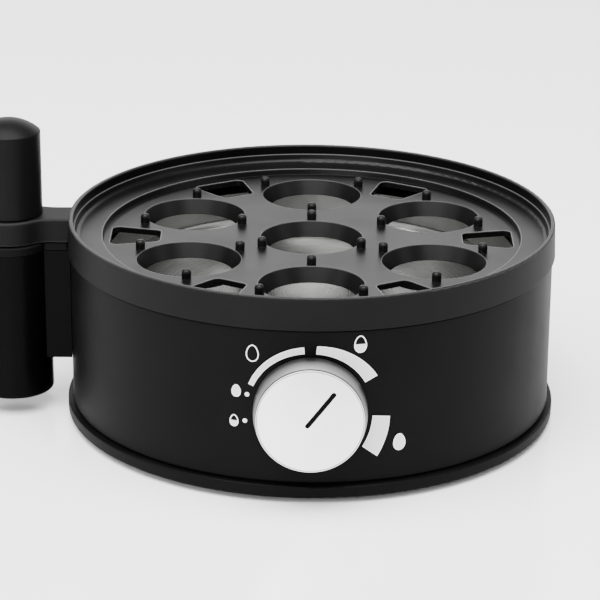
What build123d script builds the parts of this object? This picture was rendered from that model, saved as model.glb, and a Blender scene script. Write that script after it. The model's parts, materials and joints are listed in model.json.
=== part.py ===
from build123d import *
import os
from math import asin, cos, degrees, radians, sin, sqrt

os.makedirs("parts", exist_ok=True)

# Electric egg cooker, in millimetres, +Z up.
# The origin is on the table, on the axis of the round body; the knob faces -Y and the column stands on -X.

# Shared clearances and cuts
overrun = 1.0          # how far a cut runs past what it cuts
seat_gap = 0.1         # between pieces that are fastened together
lift_gap = 0.3         # between the carrier and what it stands on
shaft_gap = 0.05       # running fit of a shaft in its bush, on the radius
edge_round = 0.6       # small rounding of moulded edges

# Round housing
body_radius = 84.5
body_wall = 2.5
body_height = 53.5     # the plain wall, between the groove and the seam
foot_height = 2.0      # rubber below the foot flange
flange_height = 4.3
flange_overhang = 1.8
groove_height = 0.5    # dark line above the foot flange
groove_depth = 1.2
shelf_drop = 4.3       # from the top of the wall down to the pan shelf
shelf_width = 8.5
shelf_thickness = 2.2

body_inner = body_radius - body_wall
cover_bottom = foot_height
flange_top = cover_bottom + flange_height
wall_bottom = flange_top + groove_height
wall_top = wall_bottom + body_height
shelf_top = wall_top - shelf_drop
shelf_bottom = shelf_top - shelf_thickness
shelf_inner = body_inner - shelf_width

# Bottom cover, its feet and its screws
cover_thickness = 2.5
rim_height = 5.7       # locating rim inside the wall, above the plate
rim_wall = 2.0
boss_radius = 5.0      # screw bosses inside the housing
boss_sink = 0.5        # how far a boss runs into the wall beside it
boss_start_angle = 30.0
boss_count = 4
screw_radius = 1.4
screw_head_radius = 2.9
screw_head_height = 2.2
screw_depth = 9.0      # thread in the boss
screw_seat_depth = 4.0
foot_count = 4
foot_start_angle = 45.0
foot_radius = 7.0
foot_sink = 0.8
foot_inset = 14.0      # from the wall in to the foot's edge
foot_stem_radius = 2.8
foot_barb_radius = 3.6
foot_barb_height = 1.6
foot_round = 0.8

plate_top = cover_bottom + cover_thickness
rim_top = plate_top + rim_height
rim_outer = body_inner - seat_gap
rim_inner = rim_outer - rim_wall
boss_ring = body_inner - boss_radius + boss_sink
pillar_radius = rim_outer - boss_ring
foot_ring = body_inner - foot_inset - foot_radius

# Egg carrier
carrier_height = 11.1  # band from the seam to the lip
band_flare = 0.4       # the band is this much wider at the seam than at the lip
band_step = 0.5        # the lip stands out past the plain wall
lip_wall = 1.6
lip_round = 0.5
ledge_drop = 3.3       # lid ledge below the lip
ledge_width = 0.5
deck_drop = 6.1        # deck below the lip
deck_slope_run = 0.6   # run of the drafted wall between ledge and deck
deck_round = 1.5       # hollow corner at the foot of that wall
deck_width = 9.0
deck_thickness = 2.2
recess_drop = 2.1      # egg floor below the deck
recess_slope_run = 0.5
skirt_wall = 2.0
skirt_gap = 1.0        # play of the locating skirt in the housing
skirt_lift = 0.6       # skirt's edge above the pan flange
egg_start_angle = 30.0
seat_mouth_radius = 18.0
seat_throat_radius = 15.2
seat_wall = 1.9
seat_depth = 5.0
seat_margin = 6.3      # between an outer seat and the step
seat_web = 9.5         # least floor between two seats
peg_radius = 1.6
peg_height = 3.4
peg_round = 1.2
peg_ring_gap = 0.3     # peg's side stands this far outside the seat's mouth
pegs_per_egg = 3
steam_inner_gap = 4.5  # inner end of a steam hole past the ring of egg centres
steam_outer_gap = 2.4  # rim of the egg floor left outside a steam hole
steam_outer_width = 20.5
steam_inner_width = 12.0
steam_corner = 2.5

carrier_bottom = wall_top + lift_gap
lip_top = carrier_bottom + carrier_height
lip_radius = body_radius + band_step
band_radius = lip_radius + band_flare
lip_inner = lip_radius - lip_wall
band_inner = band_radius - lip_wall
ledge_z = lip_top - ledge_drop
ledge_inner = lip_inner - ledge_width
deck_z = lip_top - deck_drop
deck_outer = ledge_inner - deck_slope_run
deck_inner = deck_outer - deck_width
floor_z = deck_z - recess_drop
floor_radius = deck_inner - recess_slope_run
floor_bottom = floor_z - deck_thickness
deck_bottom = deck_z - deck_thickness
skirt_outer = body_inner - skirt_gap
skirt_inner = skirt_outer - skirt_wall
egg_ring = floor_radius - seat_mouth_radius - seat_margin
seat_half_pitch = seat_mouth_radius + seat_web / 2
egg_count = int(180 / degrees(asin(seat_half_pitch / egg_ring)))
middle_places = [(0, 0)] if egg_ring > 2 * seat_half_pitch else []
steam_start_angle = egg_start_angle - 180 / egg_count
steam_inner = egg_ring + steam_inner_gap
steam_outer = floor_radius - steam_outer_gap

# Column on the left, arm and grip
post_radius = 13.8
post_foot_radius = 14.0
post_wall = 2.4
post_lift = 4.3        # the post ends this far above the foot flange's underside
post_round = 1.2
web_length = 7.4       # clear gap between the wall and the post
web_width = 13.0
web_lift = 13.5        # web's lower edge above the post's foot
collar_drop = 0.6      # post ends this far below the top of the wall
collar_height = 3.0
collar_overhang = 0.2
collar_round = 0.5
collar_spigot = 4.0
collar_bore_radius = 6.0
arm_boss_radius = 12.9
arm_width = 14.4
arm_drop = 0.15        # arm's top below the lip
arm_blend = 10.0       # between the boss and the arm
arm_round = 0.8
grip_radius = 11.3     # at the shoulder
grip_foot_radius = 11.4
grip_height = 29.8     # to the shoulder
dome_height = 4.4
grip_shoulder_round = 0.6
grip_foot_bevel = 0.5
handle_screw_radius = 1.9
handle_screw_head_radius = 3.8
handle_screw_head_height = 2.4
handle_screw_depth = 16.0
handle_screw_seat = 4.0
column_screw_depth = 9.0
column_screw_low_share = 0.22
column_screw_high_share = 0.68

column_x = -(body_radius + web_length + post_radius)
post_bottom = cover_bottom + post_lift
post_top = wall_top - collar_drop
post_bore = post_radius - post_wall
web_bottom = post_bottom + web_lift
collar_top = post_top + collar_height
collar_radius = post_radius + collar_overhang
arm_bottom = collar_top + lift_gap
arm_top = lip_top - arm_drop
column_screw_heights = [
    web_bottom + share * (post_top - web_bottom)
    for share in (column_screw_low_share, column_screw_high_share)
]
column_side = Plane((column_x, 0, 0), x_dir=(1, 0, 0), z_dir=(0, -1, 0))
column_axis = Axis((column_x, 0, 0), (0, 0, 1))

# Control, knob and mains inlet
knob_share = 0.485     # height of the knob's axis on the plain wall
knob_gap = 0.8         # knob's back edge in front of the wall
knob_depth = 8.9
knob_back_radius = 18.8
knob_front_radius = 17.8
knob_rim = 0.55        # from the face's edge out to the front of the skirt
knob_edge_share = 0.7  # rounded share of the skirt's front edge
face_gap = 0.2         # fine line round the face
knob_shell = 1.6
face_crown = 0.9
face_thickness = 1.6
hub_radius = 5.2
hub_lift = 0.8         # hub's end inside the skirt's back edge
shaft_radius = 3.0
shaft_flat = 0.8       # depth of the flat on the shaft
shaft_in_control = 3.0
pointer_width = 1.6
pointer_tail = 2.3
pointer_reach = 13.0
pointer_depth = 0.9
pointer_sink = 0.1
inlay_gap = 0.03
pointer_angle = 52.0
board_setback = 15.0   # from the wall's inside to the front of the board
board_width = 54.0
board_height = 26.0
board_thickness = 1.6
board_top_gap = 1.8    # board's upper edge below the pan
board_hole_inset = 4.0
board_post_radius = 3.2
board_screw_radius = 1.2
board_screw_head_radius = 2.4
board_screw_head_height = 1.6
board_screw_depth = 6.0
control_size = 13.0
control_depth = 6.5
control_bush_radius = 3.6
control_bush_length = 7.0
wall_hole_radius = 4.6
relay_length = 19.0
relay_depth = 15.0
relay_height = 15.0
buzzer_radius = 6.0
buzzer_height = 7.0
buzzer_hole_radius = 1.0
component_gap = 0.3    # relay and buzzer inside the board's screw heads
component_clear = 1.0  # relay and buzzer below the element
block_length = 30.0
block_depth = 16.0
block_height = 13.0
block_back_gap = 22.0  # from the wall's inside to the block's back
block_hole_radius = 1.7
block_poles = 3
block_pitch = 8.5
block_screw_radius = 2.6
block_screw_height = 4.5
gland_lift = 12.0      # gland's axis above the wall's lower edge
gland_neck_radius = 6.0
gland_flange_radius = 8.0
gland_flange_thickness = 2.4
gland_bore_radius = 3.4
gland_mouth_radius = 4.4
gland_sleeve = 5.8     # neck's end past the wall's inside
gland_grip_gap = 0.8   # from the wall's inside to the bell mouth
gland_round = 0.8

knob_z = wall_bottom + knob_share * body_height
knob_back = body_radius + knob_gap
knob_front = knob_back + knob_depth
board_front = body_inner - board_setback
board_back = board_front - board_thickness
control_front = board_front + control_depth
bush_front = control_front + control_bush_length
hub_back = knob_back + hub_lift
face_back = knob_front - face_thickness
face_radius = knob_front_radius - knob_rim
knob_edge_round = knob_edge_share * (knob_rim - face_gap)
shaft_back = control_front - shaft_in_control
gland_z = wall_bottom + gland_lift
block_y = body_inner - block_back_gap - block_depth / 2
front = Plane((0, 0, 0), x_dir=(1, 0, 0), z_dir=(0, -1, 0))
knob_side = Plane((0, 0, knob_z), x_dir=(0, -1, 0), z_dir=(1, 0, 0))
knob_axis = Axis((0, 0, knob_z), (0, -1, 0))

# Heating pan and what hangs under it
seal_thickness = 1.0
seal_width = 5.0
seal_inset = 1.2
pan_sheet = 0.8
pan_corner = 8.0
pan_clear = 1.0        # bowl to shelf, and flange to wall
pan_control_gap = 2.95 # between the rotary control and the pan above it
spreader_thickness = 2.2
spreader_inset = 4.0
element_radius = 3.3
element_ring = 45.0
element_sweep_angle = 320.0
element_drop = 9.0     # length of the cold ends below the ring
tab_width = 6.3
tab_thickness = 0.8
tab_length = 8.0
strap_angle = 165.0
strap_width = 14.0
strap_thickness = 1.2
strap_clear = 1.4      # strap below the element
stud_radius = 2.0
stud_length_past = 5.0
nut_width = 7.0
nut_height = 3.2
thermostat_radius = 7.8
thermostat_height = 6.5
thermostat_offset = 24.0
bracket_width = 19.0
bracket_length = 34.0
bracket_thickness = 0.8
fuse_radius = 2.2
fuse_length = 14.0
fuse_offset = 24.0
clamp_wall = 0.8
clamp_length = 9.0
clamp_ear = 6.0

seal_inner = shelf_inner + seal_inset
pan_flange_bottom = shelf_top + seal_thickness
pan_flange_top = pan_flange_bottom + pan_sheet
pan_bowl = shelf_inner - pan_clear
pan_floor_bottom = knob_z + control_size / 2 + pan_control_gap
pan_floor_top = pan_floor_bottom + pan_sheet
pan_flange_radius = body_inner - pan_clear
spreader_radius = pan_bowl - pan_corner - spreader_inset
spreader_bottom = pan_floor_bottom - spreader_thickness
element_z = spreader_bottom - element_radius - seat_gap
element_end = element_z - element_drop
strap_top = element_z - element_radius - strap_clear
strap_bottom = strap_top - strap_thickness
skirt_bottom = pan_flange_top + skirt_lift

# Place of the control board below the pan, and of what stands on it
board_top = pan_floor_bottom - board_top_gap
board_mid = board_top - board_height / 2
board_places = [
    (side * (board_width / 2 - board_hole_inset), board_mid + rise * (board_height / 2 - board_hole_inset))
    for side in (-1, 1)
    for rise in (-1, 1)
]
component_z = element_z - element_radius - component_clear - relay_height / 2
component_side = board_width / 2 - board_hole_inset - board_screw_head_radius - component_gap
relay_x = component_side - relay_length / 2
buzzer_x = buzzer_radius - component_side


# Body shell: the wall, the shelf for the pan, and the bosses moulded inside it
with BuildPart() as body_shell:
    with BuildSketch(Plane.XZ):
        with BuildLine():
            Polyline(
                (body_inner, wall_bottom),
                (body_radius, wall_bottom),
                (body_radius, wall_top),
                (body_inner, wall_top),
                (body_inner, shelf_top),
                (shelf_inner, shelf_top),
                (shelf_inner, shelf_bottom),
                (body_inner, shelf_bottom),
                close=True,
            )
        make_face()
    revolve(axis=Axis.Z)
    outer_edges = body_shell.edges().filter_by(GeomType.CIRCLE).sort_by(SortBy.RADIUS)[-2:]
    fillet(outer_edges, edge_round)
    # bosses for the bottom screws, from the cover's rim up to the shelf
    with BuildSketch(Plane.XY.offset(rim_top)):
        with PolarLocations(boss_ring, boss_count, start_angle=boss_start_angle):
            Circle(boss_radius)
    extrude(amount=shelf_bottom - rim_top)
    with BuildSketch(Plane.XY.offset(rim_top)):
        with PolarLocations(boss_ring, boss_count, start_angle=boss_start_angle):
            Circle(screw_radius + seat_gap)
    extrude(amount=screw_depth + overrun, mode=Mode.SUBTRACT)
    # bosses for the strap that holds the pan
    with BuildSketch(Plane.XY.offset(strap_top)):
        with PolarLocations(boss_ring, 2, start_angle=strap_angle):
            Circle(boss_radius)
    extrude(amount=shelf_bottom - strap_top)
    with BuildSketch(Plane.XY.offset(strap_top)):
        with PolarLocations(boss_ring, 2, start_angle=strap_angle):
            Circle(screw_radius + seat_gap)
    extrude(amount=screw_depth + overrun, mode=Mode.SUBTRACT)
    # posts for the control board, on the inside of the front wall
    for place_x, place_z in board_places:
        wall_there = sqrt(body_inner**2 - place_x**2)
        with BuildSketch(front.offset(board_front)):
            with Locations((place_x, place_z)):
                Circle(board_post_radius)
        extrude(amount=wall_there + body_wall / 2 - board_front)
    with BuildSketch(front.offset(board_front)):
        with Locations(*board_places):
            Circle(board_screw_radius + seat_gap)
    extrude(amount=board_screw_depth + overrun, mode=Mode.SUBTRACT)
    # holes for the control's bush, the column's screws and the cord gland
    with BuildSketch(front.offset(body_inner - overrun)):
        with Locations((0, knob_z)):
            Circle(wall_hole_radius)
    extrude(amount=body_wall + 2 * overrun, mode=Mode.SUBTRACT)
    with BuildSketch(Plane.YZ.offset(-body_inner + overrun)):
        with Locations(*[(0, height) for height in column_screw_heights]):
            Circle(screw_radius + seat_gap)
    extrude(amount=-(body_wall + 2 * overrun), mode=Mode.SUBTRACT)
    with BuildSketch(front.offset(-body_inner + overrun + body_wall)):
        with Locations((0, gland_z)):
            Circle(gland_neck_radius + seat_gap)
    extrude(amount=-(2 * body_wall + 2 * overrun), mode=Mode.SUBTRACT)
body_shell.part.label = "body_shell"
export_step(body_shell.part, "parts/body_shell.step")

# Bottom cover: the plate, the foot flange, the groove's shoulder and the rim inside the wall
with BuildPart() as bottom_cover:
    with BuildSketch(Plane.XZ):
        with BuildLine():
            Polyline(
                (0, cover_bottom),
                (body_radius + flange_overhang, cover_bottom),
                (body_radius + flange_overhang, flange_top),
                (body_radius - groove_depth, flange_top),
                (body_radius - groove_depth, wall_bottom),
                (rim_outer, wall_bottom),
                (rim_outer, rim_top),
                (rim_inner, rim_top),
                (rim_inner, plate_top),
                (0, plate_top),
                close=True,
            )
        make_face()
    revolve(axis=Axis.Z)
    flange_edges = bottom_cover.edges().filter_by(GeomType.CIRCLE).sort_by(SortBy.RADIUS)[-2:]
    fillet(flange_edges, edge_round)
    with BuildSketch(Plane.XY.offset(plate_top)):
        with PolarLocations(boss_ring, boss_count, start_angle=boss_start_angle):
            Circle(pillar_radius)
    extrude(amount=rim_height)
    with BuildSketch(Plane.XY.offset(cover_bottom)):
        with PolarLocations(boss_ring, boss_count, start_angle=boss_start_angle):
            Circle(screw_head_radius + seat_gap)
    extrude(amount=screw_seat_depth, mode=Mode.SUBTRACT)
    with BuildSketch(Plane.XY.offset(cover_bottom)):
        with PolarLocations(boss_ring, boss_count, start_angle=boss_start_angle):
            Circle(screw_radius + seat_gap)
    extrude(amount=rim_top - cover_bottom, mode=Mode.SUBTRACT)
    with BuildSketch(Plane.XY.offset(cover_bottom)):
        with PolarLocations(foot_ring, foot_count, start_angle=foot_start_angle):
            Circle(foot_radius + seat_gap)
    extrude(amount=foot_sink, mode=Mode.SUBTRACT)
    with BuildSketch(Plane.XY.offset(cover_bottom)):
        with PolarLocations(foot_ring, foot_count, start_angle=foot_start_angle):
            Circle(foot_stem_radius + seat_gap)
    extrude(amount=cover_thickness, mode=Mode.SUBTRACT)
bottom_cover.part.label = "bottom_cover"
export_step(bottom_cover.part, "parts/bottom_cover.step")

# Rubber feet: a round pad sunk in the cover, with a stem and a barb that holds it
with BuildPart() as rubber_feet:
    with BuildSketch():
        with PolarLocations(foot_ring, foot_count, start_angle=foot_start_angle):
            Circle(foot_radius)
    extrude(amount=foot_height + foot_sink)
    fillet(rubber_feet.edges().group_by(Axis.Z)[0], foot_round)
    with BuildSketch(Plane.XY.offset(cover_bottom + foot_sink)):
        with PolarLocations(foot_ring, foot_count, start_angle=foot_start_angle):
            Circle(foot_stem_radius)
    extrude(amount=cover_thickness - foot_sink)
    with BuildSketch(Plane.XY.offset(plate_top)):
        with PolarLocations(foot_ring, foot_count, start_angle=foot_start_angle):
            Circle(foot_barb_radius)
    extrude(amount=foot_barb_height)
rubber_feet.part.label = "rubber_feet"
export_step(rubber_feet.part, "parts/rubber_feet.step")

# Bottom screws: heads in the cover's seats, threads in the shell's bosses
with BuildPart() as bottom_screws:
    head_z = cover_bottom + screw_seat_depth
    with BuildSketch(Plane.XY.offset(head_z - screw_head_height)):
        with PolarLocations(boss_ring, boss_count, start_angle=boss_start_angle):
            Circle(screw_head_radius)
    extrude(amount=screw_head_height)
    with BuildSketch(Plane.XY.offset(head_z)):
        with PolarLocations(boss_ring, boss_count, start_angle=boss_start_angle):
            Circle(screw_radius)
    extrude(amount=rim_top - head_z + screw_depth)
bottom_screws.part.label = "bottom_screws"
export_step(bottom_screws.part, "parts/bottom_screws.step")

# Side column: a hollow drafted post and the web that stands it off the wall
with BuildPart() as side_column:
    with BuildSketch(column_side):
        with BuildLine():
            Polyline(
                (0, post_bottom),
                (post_foot_radius, post_bottom),
                (post_radius, post_top),
                (0, post_top),
                close=True,
            )
        make_face()
    revolve(axis=column_axis)
    fillet(side_column.edges().group_by(Axis.Z)[0], post_round)
    with BuildSketch(Plane.XY.offset(web_bottom)):
        with Locations((column_x / 2, 0)):
            Rectangle(-column_x, web_width)
        Circle(body_radius + seat_gap, mode=Mode.SUBTRACT)
    extrude(amount=post_top - web_bottom)
    with BuildSketch(column_side):
        with BuildLine():
            Polyline(
                (0, post_bottom + post_wall),
                (post_foot_radius - post_wall, post_bottom + post_wall),
                (post_bore, post_top),
                (0, post_top),
                close=True,
            )
        make_face()
    revolve(axis=column_axis, mode=Mode.SUBTRACT)
    with BuildSketch(Plane.YZ.offset(-body_radius)):
        with Locations(*[(0, height) for height in column_screw_heights]):
            Circle(screw_radius + seat_gap)
    extrude(amount=-(column_screw_depth + overrun), mode=Mode.SUBTRACT)
side_column.part.label = "side_column"
export_step(side_column.part, "parts/side_column.step")

# Column screws: from inside the wall into the web
with BuildPart() as column_screws:
    head_seat = sqrt(body_inner**2 - screw_head_radius**2) - seat_gap
    with BuildSketch(Plane.YZ.offset(-head_seat)):
        with Locations(*[(0, height) for height in column_screw_heights]):
            Circle(screw_head_radius)
    extrude(amount=screw_head_height)
    with BuildSketch(Plane.YZ.offset(-head_seat)):
        with Locations(*[(0, height) for height in column_screw_heights]):
            Circle(screw_radius)
    extrude(amount=-(body_radius - head_seat + column_screw_depth))
column_screws.part.label = "column_screws"
export_step(column_screws.part, "parts/column_screws.step")

# Column collar: the keyhole ring that closes the post and the web
with BuildPart() as column_collar:
    with BuildSketch(Plane.XY.offset(post_top)):
        with Locations((column_x, 0)):
            Circle(collar_radius)
        with Locations((column_x / 2, 0)):
            Rectangle(-column_x, web_width)
        Circle(band_radius + lift_gap, mode=Mode.SUBTRACT)
    extrude(amount=collar_height)
    fillet(column_collar.faces().sort_by(Axis.Z)[-1].edges(), collar_round)
    fillet(column_collar.faces().sort_by(Axis.Z)[0].edges(), collar_round)
    with BuildSketch(Plane.XY.offset(post_top - collar_spigot)):
        with Locations((column_x, 0)):
            Circle(post_bore - post_wall / 2)
    extrude(amount=collar_spigot)
    with BuildSketch(Plane.XY.offset(post_top - collar_spigot)):
        with Locations((column_x, 0)):
            Circle(collar_bore_radius)
    extrude(amount=collar_spigot + collar_height, mode=Mode.SUBTRACT)
column_collar.part.label = "column_collar"
export_step(column_collar.part, "parts/column_collar.step")

# Egg carrier: band, lid ledge, stepped deck, egg seats, steam holes, pegs, arm and boss in one moulding
peg_circle = seat_mouth_radius + peg_ring_gap + peg_radius
seat_turns = [radians(egg_start_angle + 360 * step / egg_count) for step in range(egg_count)]
ring_places = [(egg_ring * cos(turn), egg_ring * sin(turn)) for turn in seat_turns]
seat_places = [(x, y, floor_z - seat_depth / 2) for x, y in middle_places + ring_places]
with BuildPart() as egg_carrier:
    # arm and boss first, so that their edges are rounded alone
    with BuildSketch(Plane.XY.offset(arm_bottom)) as arm_plan:
        with Locations((column_x, 0)):
            Circle(arm_boss_radius)
        with Locations(((column_x - lip_radius) / 2, 0)):
            Rectangle(-column_x - lip_radius + lip_wall, arm_width)
        inner_corners = arm_plan.vertices().group_by(Axis.X)[-2]
        fillet(inner_corners, arm_blend)
    extrude(amount=arm_top - arm_bottom)
    fillet(egg_carrier.faces().sort_by(Axis.Z)[-1].edges(), arm_round)
    fillet(egg_carrier.faces().sort_by(Axis.Z)[0].edges(), collar_round)
    with BuildSketch(Plane.XZ) as band_profile:
        with BuildLine():
            Polyline(
                (0, floor_z),
                (floor_radius, floor_z),
                (deck_inner, deck_z),
                (deck_outer, deck_z),
                (ledge_inner, ledge_z),
                (lip_inner, ledge_z),
                (lip_inner, lip_top),
                (lip_radius, lip_top),
                (band_radius, carrier_bottom),
                (band_inner, carrier_bottom),
                (band_inner, deck_bottom),
                (skirt_outer, deck_bottom),
                (skirt_outer, skirt_bottom),
                (skirt_inner, skirt_bottom),
                (skirt_inner, deck_bottom),
                (deck_inner + deck_thickness, deck_bottom),
                (floor_radius + deck_thickness, floor_bottom),
                (0, floor_bottom),
                close=True,
            )
        make_face()
        lip_corners = band_profile.vertices().group_by(Axis.Y)[-1]
        fillet(lip_corners, lip_round)
        deck_corner = band_profile.vertices().sort_by_distance((deck_outer, deck_z))[0]
        fillet(deck_corner, deck_round)
    revolve(axis=Axis.Z)
    # funnel seats that hang below the egg floor, one in the middle and a ring round it
    with Locations(*seat_places):
        Cone(seat_throat_radius + seat_wall, seat_mouth_radius + seat_wall, seat_depth)
    with Locations(*seat_places):
        Cone(seat_throat_radius, seat_mouth_radius, seat_depth, mode=Mode.SUBTRACT)
    # keystone steam holes between the outer seats
    with BuildSketch(Plane.XY.offset(floor_bottom - overrun), mode=Mode.PRIVATE) as steam_plan:
        with BuildLine():
            Polyline(
                (steam_inner, -steam_inner_width / 2),
                (steam_outer, -steam_outer_width / 2),
                (steam_outer, steam_outer_width / 2),
                (steam_inner, steam_inner_width / 2),
                close=True,
            )
        make_face()
        fillet(steam_plan.vertices(), steam_corner)
    steam_hole = steam_plan.sketch
    with BuildSketch(Plane.XY.offset(floor_bottom - overrun)):
        with PolarLocations(0, egg_count, start_angle=steam_start_angle):
            add(steam_hole)
    extrude(amount=deck_thickness + 2 * overrun, mode=Mode.SUBTRACT)
    # round-topped pegs that steady each egg, one towards the middle and two towards the rim
    with BuildSketch(Plane.XY.offset(floor_z)):
        for middle in middle_places:
            with Locations(middle):
                with PolarLocations(peg_circle, pegs_per_egg, start_angle=egg_start_angle + 180):
                    Circle(peg_radius)
        with PolarLocations(egg_ring, egg_count, start_angle=egg_start_angle):
            with PolarLocations(peg_circle, pegs_per_egg, start_angle=180):
                Circle(peg_radius)
    extrude(amount=peg_height)
    peg_tops = egg_carrier.faces().filter_by_position(Axis.Z, floor_z + peg_height, floor_z + peg_height)
    fillet(peg_tops.edges(), peg_round)
    # seat and hole for the grip's screw
    with BuildSketch(Plane.XY.offset(arm_bottom)):
        with Locations((column_x, 0)):
            Circle(handle_screw_head_radius + seat_gap)
    extrude(amount=handle_screw_seat, mode=Mode.SUBTRACT)
    with BuildSketch(Plane.XY.offset(arm_bottom)):
        with Locations((column_x, 0)):
            Circle(handle_screw_radius + seat_gap)
    extrude(amount=arm_top - arm_bottom, mode=Mode.SUBTRACT)
egg_carrier.part.label = "egg_carrier"
export_step(egg_carrier.part, "parts/egg_carrier.step")

# Handle grip: a round bar with a domed top, screwed to the boss from below
dome_radius = (grip_radius**2 + dome_height**2) / (2 * dome_height)
shoulder_z = arm_top + grip_height
grip_top = shoulder_z + dome_height
dome_half_angle = degrees(asin(grip_radius / dome_radius))
with BuildPart() as handle_grip:
    with BuildSketch(column_side):
        with BuildLine():
            Polyline((0, grip_top), (0, arm_top), (grip_foot_radius, arm_top), (grip_radius, shoulder_z))
            CenterArc((0, grip_top - dome_radius), dome_radius, 90 - dome_half_angle, dome_half_angle)
        make_face()
    revolve(axis=column_axis)
    rings = handle_grip.edges().filter_by(lambda edge: edge.is_closed).sort_by(Axis.Z)
    fillet(rings[-1], grip_shoulder_round)
    chamfer(rings[0], grip_foot_bevel)
    with BuildSketch(Plane.XY.offset(arm_top)):
        with Locations((column_x, 0)):
            Circle(handle_screw_radius + seat_gap)
    extrude(amount=handle_screw_depth + overrun, mode=Mode.SUBTRACT)
handle_grip.part.label = "handle_grip"
export_step(handle_grip.part, "parts/handle_grip.step")

# Handle screw
with BuildPart() as handle_screw:
    screw_seat_z = arm_bottom + handle_screw_seat
    with BuildSketch(Plane.XY.offset(screw_seat_z - handle_screw_head_height)):
        with Locations((column_x, 0)):
            Circle(handle_screw_head_radius)
    extrude(amount=handle_screw_head_height)
    with BuildSketch(Plane.XY.offset(screw_seat_z)):
        with Locations((column_x, 0)):
            Circle(handle_screw_radius)
    extrude(amount=arm_top - screw_seat_z + handle_screw_depth)
handle_screw.part.label = "handle_screw"
export_step(handle_screw.part, "parts/handle_screw.step")

# Pan seal: a flat ring on the shelf
with BuildPart() as pan_seal:
    with BuildSketch(Plane.XY.offset(shelf_top)):
        Circle(seal_inner + seal_width)
        Circle(seal_inner, mode=Mode.SUBTRACT)
    extrude(amount=seal_thickness)
pan_seal.part.label = "pan_seal"
export_step(pan_seal.part, "parts/pan_seal.step")

# Heating pan: a drawn sheet bowl with a flat flange
inner_corner = pan_corner - pan_sheet
with BuildPart() as heating_pan:
    with BuildSketch(Plane.XZ):
        with BuildLine():
            Polyline((0, pan_floor_top), (0, pan_floor_bottom), (pan_bowl - pan_corner, pan_floor_bottom))
            CenterArc((pan_bowl - pan_corner, pan_floor_bottom + pan_corner), pan_corner, -90, 90)
            Polyline(
                (pan_bowl, pan_floor_bottom + pan_corner),
                (pan_bowl, pan_flange_bottom),
                (pan_flange_radius, pan_flange_bottom),
                (pan_flange_radius, pan_flange_top),
                (pan_bowl - pan_sheet, pan_flange_top),
                (pan_bowl - pan_sheet, pan_floor_bottom + pan_corner),
            )
            CenterArc((pan_bowl - pan_corner, pan_floor_bottom + pan_corner), inner_corner, -90, 90)
            Line((pan_bowl - pan_corner, pan_floor_top), (0, pan_floor_top))
        make_face()
    revolve(axis=Axis.Z)
heating_pan.part.label = "heating_pan"
export_step(heating_pan.part, "parts/heating_pan.step")

# Heat spreader: a plate brazed under the pan
with BuildPart() as heat_spreader:
    with BuildSketch(Plane.XY.offset(spreader_bottom)):
        Circle(spreader_radius)
    extrude(amount=spreader_thickness)
heat_spreader.part.label = "heat_spreader"
export_step(heat_spreader.part, "parts/heat_spreader.step")

# Heating element: an open ring of sheathed tube whose cold ends turn down
element_gap_angle = 360 - element_sweep_angle
element_ends = [
    (element_ring * cos(radians(angle)), element_ring * sin(radians(angle)))
    for angle in (90 + element_gap_angle / 2, 90 - element_gap_angle / 2)
]
with BuildPart() as heating_element:
    with BuildSketch(Plane.YZ.rotated((0, 0, element_gap_angle / 2))):
        with Locations((element_ring, element_z)):
            Circle(element_radius)
    revolve(axis=Axis.Z, revolution_arc=element_sweep_angle)
    for end_x, end_y in element_ends:
        with Locations((end_x, end_y, element_z)):
            Sphere(element_radius)
    with BuildSketch(Plane.XY.offset(element_end)):
        with Locations(*element_ends):
            Circle(element_radius)
    extrude(amount=element_drop)
heating_element.part.label = "heating_element"
export_step(heating_element.part, "parts/heating_element.step")

# Element terminals: a push-on tab under each cold end
with BuildPart() as element_terminals:
    with BuildSketch(Plane.XY.offset(element_end - tab_length)):
        with Locations(*element_ends):
            Rectangle(tab_width, tab_thickness)
    extrude(amount=tab_length)
element_terminals.part.label = "element_terminals"
export_step(element_terminals.part, "parts/element_terminals.step")

# Pan strap: a bar across the housing that pulls the pan down on its seal
strap_plane = Plane.XY.offset(strap_bottom).rotated((0, 0, strap_angle))
with BuildPart() as pan_strap:
    with BuildSketch(strap_plane):
        SlotCenterToCenter(2 * boss_ring, strap_width)
        with Locations((boss_ring, 0), (-boss_ring, 0)):
            Circle(screw_radius + seat_gap, mode=Mode.SUBTRACT)
        Circle(stud_radius + seat_gap, mode=Mode.SUBTRACT)
    extrude(amount=strap_thickness)
    with BuildSketch(Plane.XY.offset(strap_bottom)):
        Circle(body_inner - seat_gap)
    extrude(amount=strap_thickness, mode=Mode.INTERSECT)
pan_strap.part.label = "pan_strap"
export_step(pan_strap.part, "parts/pan_strap.step")

# Strap screws
with BuildPart() as strap_screws:
    with BuildSketch(Plane.XY.offset(strap_bottom - screw_head_height)):
        with PolarLocations(boss_ring, 2, start_angle=strap_angle):
            Circle(screw_head_radius)
    extrude(amount=screw_head_height)
    with BuildSketch(Plane.XY.offset(strap_bottom)):
        with PolarLocations(boss_ring, 2, start_angle=strap_angle):
            Circle(screw_radius)
    extrude(amount=strap_thickness + screw_depth)
strap_screws.part.label = "strap_screws"
export_step(strap_screws.part, "parts/strap_screws.step")

# Pan stud, welded to the spreader, and the nut under the strap
with BuildPart() as pan_stud:
    with BuildSketch(Plane.XY.offset(strap_bottom - stud_length_past)):
        Circle(stud_radius)
    extrude(amount=spreader_bottom - strap_bottom + stud_length_past)
pan_stud.part.label = "pan_stud"
export_step(pan_stud.part, "parts/pan_stud.step")

with BuildPart() as strap_nut:
    with BuildSketch(Plane.XY.offset(strap_bottom - nut_height)):
        RegularPolygon(nut_width / 2, 6, major_radius=False)
        Circle(stud_radius + shaft_gap, mode=Mode.SUBTRACT)
    extrude(amount=nut_height)
strap_nut.part.label = "strap_nut"
export_step(strap_nut.part, "parts/strap_nut.step")

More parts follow.
